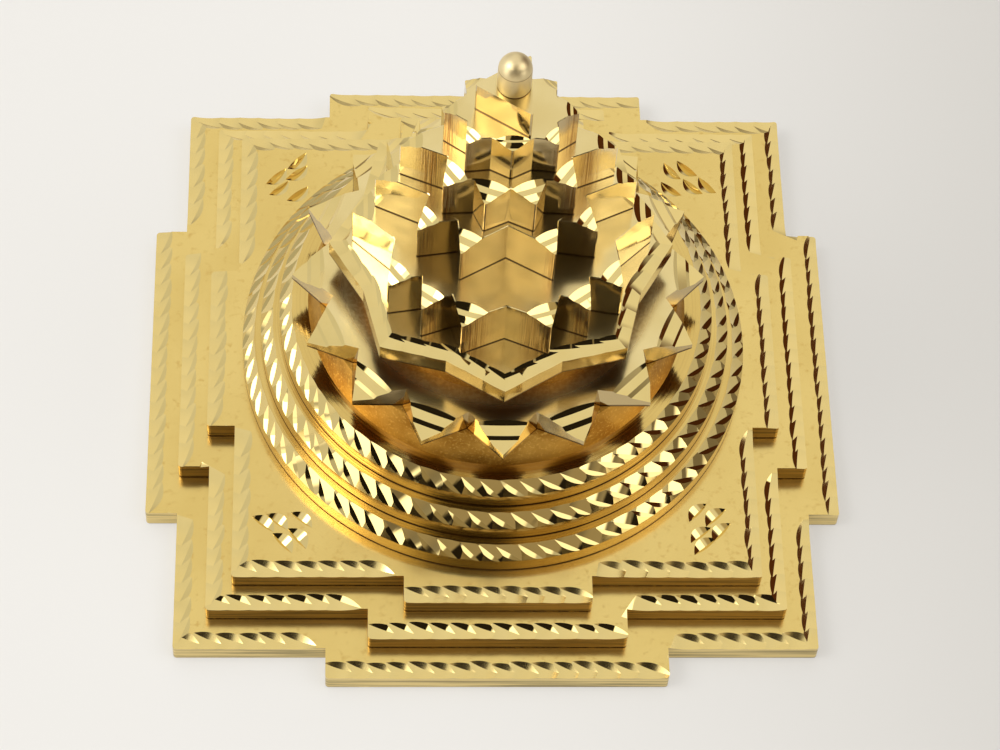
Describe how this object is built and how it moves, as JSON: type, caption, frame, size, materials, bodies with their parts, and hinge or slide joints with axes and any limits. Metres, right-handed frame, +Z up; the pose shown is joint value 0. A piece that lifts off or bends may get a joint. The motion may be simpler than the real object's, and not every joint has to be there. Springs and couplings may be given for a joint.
{
  "type": "meru shri yantra",
  "caption": "Polished brass meru shri yantra: a stepped tower of gated square plates, turned rings, petal plates and star blocks rising to a domed bindu, for a shelf or altar.",
  "frame": {"origin": "centre of the lower plate's underside, on the surface that the object stands on", "axes": "+Z up the tower to the bindu; -Y is the side towards the camera; the trikona's single corner points to -X"},
  "size_m": [0.11, 0.11, 0.0882],
  "materials": {
    "polished_brass": "polished, with bright faceted cuts",
    "cast_brass": "as cast, satin amber",
    "fixing_steel": "plain zinc-plated steel"
  },
  "bodies": {
    "root": {"lower_plate": "polished_brass", "middle_plate": "polished_brass", "upper_plate": "polished_brass", "ring_1": "polished_brass", "ring_2": "polished_brass", "ring_3": "polished_brass", "collar_16": "cast_brass", "petal_16": "polished_brass", "collar_8": "cast_brass", "petal_8": "polished_brass", "star_14": "polished_brass", "star_10_outer": "polished_brass", "star_10_inner": "polished_brass", "star_8": "polished_brass", "trikona": "polished_brass", "bindu": "polished_brass", "tie_rod": "fixing_steel", "washer": "fixing_steel", "nut": "fixing_steel", "base_pins": "fixing_steel"}
  },
  "joints": []
}
